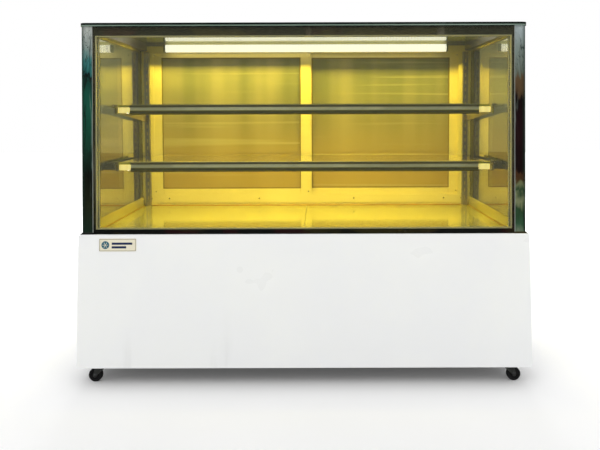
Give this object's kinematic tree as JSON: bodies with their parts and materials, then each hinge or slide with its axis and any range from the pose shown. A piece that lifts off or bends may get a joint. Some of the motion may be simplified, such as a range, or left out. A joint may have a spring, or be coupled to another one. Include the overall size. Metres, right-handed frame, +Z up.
{
  "type": "bakery display case",
  "caption": "Refrigerated cake display case: white base on casters, leaning double-glazed front, lit glass shelves, sliding rear doors and cooling plant.",
  "frame": {"origin": "on the floor, under the middle of the case's box", "axes": "+X along the front to the customer's right, +Y from the front glass to the sliding doors, +Z up"},
  "size_m": [1.5, 0.7, 1.2],
  "materials": {
    "white_paint": "semi-gloss powder coat",
    "frame_steel": "satin",
    "galvanised_sheet": "dull galvanised",
    "zinc_screw": "bright zinc",
    "badge_cream": "satin",
    "well_liner": "satin",
    "coil_aluminium": "satin",
    "black_plastic": "fine grain",
    "black_paint": "gloss",
    "copper_pipe": "bright copper",
    "grey_plastic": "satin",
    "rocker_black": "gloss",
    "polished_steel": "mirror, slightly wavy",
    "brushed_steel": "satin brushed",
    "clear_glass": "clear",
    "black_border": "gloss behind glass",
    "lid_black_glass": "back-painted glass, gloss",
    "lid_edge_glass": "clear, pale green edge",
    "deck_steel": "smooth satin, reflective",
    "door_aluminium": "satin anodised, pale",
    "door_pane": "clear with a grey-olive tint",
    "lamp_cover": "opal, lit",
    "chrome_rail": "bright chrome",
    "zinc_caster": "bright zinc",
    "wheel_rubber": "satin black"
  },
  "bodies": {
    "cabinet": {"badge_plate": "badge_cream", "base_floor": "galvanised_sheet", "base_frame": "frame_steel", "canopy_frame": "brushed_steel", "caster_plates": "zinc_caster", "compressor": "black_paint", "condensate_tray": "well_liner", "condenser_coil": "coil_aluminium", "condenser_fan_shroud": "galvanised_sheet", "control_panel": "black_plastic", "deck_panels": "deck_steel", "door_surround": "door_aluminium", "drain_spigot": "grey_plastic", "end_panels": "white_paint", "evaporator_coil": "coil_aluminium", "evaporator_fan_ring": "black_plastic", "front_glass_border": "black_border", "front_glass_inner": "clear_glass", "front_glass_outer": "clear_glass", "front_panel": "white_paint", "front_posts": "polished_steel", "insulated_well": "well_liner", "left_side_glass": "clear_glass", "lid_glass": "lid_black_glass", "lid_under_glass": "lid_edge_glass", "light_batten": "door_aluminium", "light_tube": "lamp_cover", "mains_gland": "black_plastic", "panel_screws": "zinc_screw", "rear_grille_panel": "white_paint", "rear_posts": "brushed_steel", "rear_sill_beam": "door_aluminium", "refrigerant_lines": "copper_pipe", "right_side_glass": "clear_glass", "shelf_brackets": "brushed_steel", "shelf_clamps": "chrome_rail", "shelf_glass": "clear_glass", "shelf_light_bars": "lamp_cover", "shelf_rails": "chrome_rail", "shelf_uprights": "brushed_steel", "side_coamings": "deck_steel", "side_glass_borders": "black_border"},
    "left_door": {"left_door_frame": "door_aluminium", "left_door_glass": "door_pane", "left_door_pull": "grey_plastic"},
    "right_door": {"right_door_frame": "door_aluminium", "right_door_glass": "door_pane", "right_door_pull": "grey_plastic"},
    "condenser_fan": {"condenser_fan": "coil_aluminium"},
    "evaporator_fan": {"evaporator_fan": "black_plastic"},
    "power_switch": {"power_switch": "rocker_black"},
    "light_switch": {"light_switch": "rocker_black"},
    "front_left_swivel": {"front_left_caster_fork": "zinc_caster"},
    "front_left_wheel": {"front_left_caster_wheel": "wheel_rubber"},
    "front_right_swivel": {"front_right_caster_fork": "zinc_caster"},
    "front_right_wheel": {"front_right_caster_wheel": "wheel_rubber"},
    "rear_left_swivel": {"rear_left_caster_fork": "zinc_caster"},
    "rear_left_wheel": {"rear_left_caster_wheel": "wheel_rubber"},
    "rear_right_swivel": {"rear_right_caster_fork": "zinc_caster"},
    "rear_right_wheel": {"rear_right_caster_wheel": "wheel_rubber"}
  },
  "joints": [
    {"name": "left_door_slide", "type": "slide", "parent": "cabinet", "child": "left_door", "axis": [1, 0, 0], "range_m": [0, 0.6]},
    {"name": "right_door_slide", "type": "slide", "parent": "cabinet", "child": "right_door", "axis": [1, 0, 0], "range_m": [-0.6, 0]},
    {"name": "condenser_fan_spin", "type": "hinge", "parent": "cabinet", "child": "condenser_fan", "pos_m": [0.44, 0.215, 0.194], "axis": [0, 1, 0], "continuous": true},
    {"name": "evaporator_fan_spin", "type": "hinge", "parent": "cabinet", "child": "evaporator_fan", "pos_m": [0, -0.18, 0.405], "axis": [0, 1, 0], "continuous": true},
    {"name": "power_switch_rock", "type": "hinge", "parent": "cabinet", "child": "power_switch", "pos_m": [0.442, 0.3305, 0.43], "axis": [1, 0, 0], "range_deg": [-10, 0]},
    {"name": "light_switch_rock", "type": "hinge", "parent": "cabinet", "child": "light_switch", "pos_m": [0.482, 0.3305, 0.43], "axis": [1, 0, 0], "range_deg": [-10, 0]},
    {"name": "front_left_caster_swivel", "type": "hinge", "parent": "cabinet", "child": "front_left_swivel", "pos_m": [-0.685, -0.3, 0.055], "axis": [0, 0, 1], "continuous": true},
    {"name": "front_left_wheel_spin", "type": "hinge", "parent": "front_left_swivel", "child": "front_left_wheel", "pos_m": [-0.703, -0.3, 0.0225], "axis": [0, 1, 0], "continuous": true},
    {"name": "front_right_caster_swivel", "type": "hinge", "parent": "cabinet", "child": "front_right_swivel", "pos_m": [0.685, -0.3, 0.055], "axis": [0, 0, 1], "continuous": true},
    {"name": "front_right_wheel_spin", "type": "hinge", "parent": "front_right_swivel", "child": "front_right_wheel", "pos_m": [0.703, -0.3, 0.0225], "axis": [0, 1, 0], "continuous": true},
    {"name": "rear_left_caster_swivel", "type": "hinge", "parent": "cabinet", "child": "rear_left_swivel", "pos_m": [-0.685, 0.3, 0.055], "axis": [0, 0, 1], "continuous": true},
    {"name": "rear_left_wheel_spin", "type": "hinge", "parent": "rear_left_swivel", "child": "rear_left_wheel", "pos_m": [-0.703, 0.3, 0.0225], "axis": [0, 1, 0], "continuous": true},
    {"name": "rear_right_caster_swivel", "type": "hinge", "parent": "cabinet", "child": "rear_right_swivel", "pos_m": [0.685, 0.3, 0.055], "axis": [0, 0, 1], "continuous": true},
    {"name": "rear_right_wheel_spin", "type": "hinge", "parent": "rear_right_swivel", "child": "rear_right_wheel", "pos_m": [0.703, 0.3, 0.0225], "axis": [0, 1, 0], "continuous": true}
  ]
}
